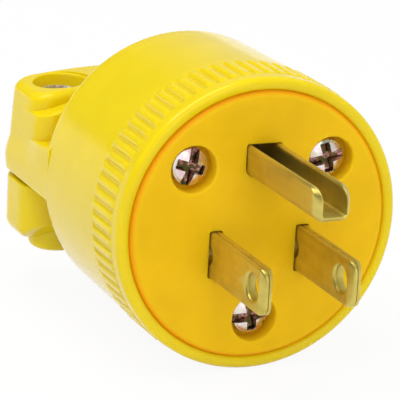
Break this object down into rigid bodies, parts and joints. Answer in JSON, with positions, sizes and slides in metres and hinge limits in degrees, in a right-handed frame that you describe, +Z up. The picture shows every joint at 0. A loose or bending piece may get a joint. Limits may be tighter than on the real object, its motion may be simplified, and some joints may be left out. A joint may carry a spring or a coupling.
{
  "type": "power plug",
  "caption": "Round yellow grounding power plug with flat blades, a channel ground pin, a screwed face, a ribbed rim and a rear cord clamp.",
  "frame": {"origin": "centre of the mating face, on the body's axis", "axes": "-Y out of the face along the blades, +Y towards the cord, +Z up towards the ground pin, +X to the right seen from the front"},
  "size_m": [0.0414, 0.0701, 0.0414],
  "materials": {
    "body_vinyl": "moulded, semi-gloss",
    "face_vinyl": "moulded, satin",
    "insulator": "moulded, matte",
    "blade_brass": "rolled and stamped",
    "screw_brass": "turned",
    "screw_zinc": "zinc plated, passivated",
    "screw_green": "green plated"
  },
  "bodies": {
    "root": {"shell": "body_vinyl", "face_cover": "face_vinyl", "blade_retainer": "insulator", "line_blade": "blade_brass", "neutral_blade": "blade_brass", "ground_pin": "blade_brass", "line_terminal_screw": "screw_brass", "neutral_terminal_screw": "screw_zinc", "ground_terminal_screw": "screw_green", "face_screws": "screw_zinc", "cord_clamp_jaw": "body_vinyl", "clamp_screws": "screw_zinc", "clamp_nuts": "screw_zinc"}
  },
  "joints": []
}
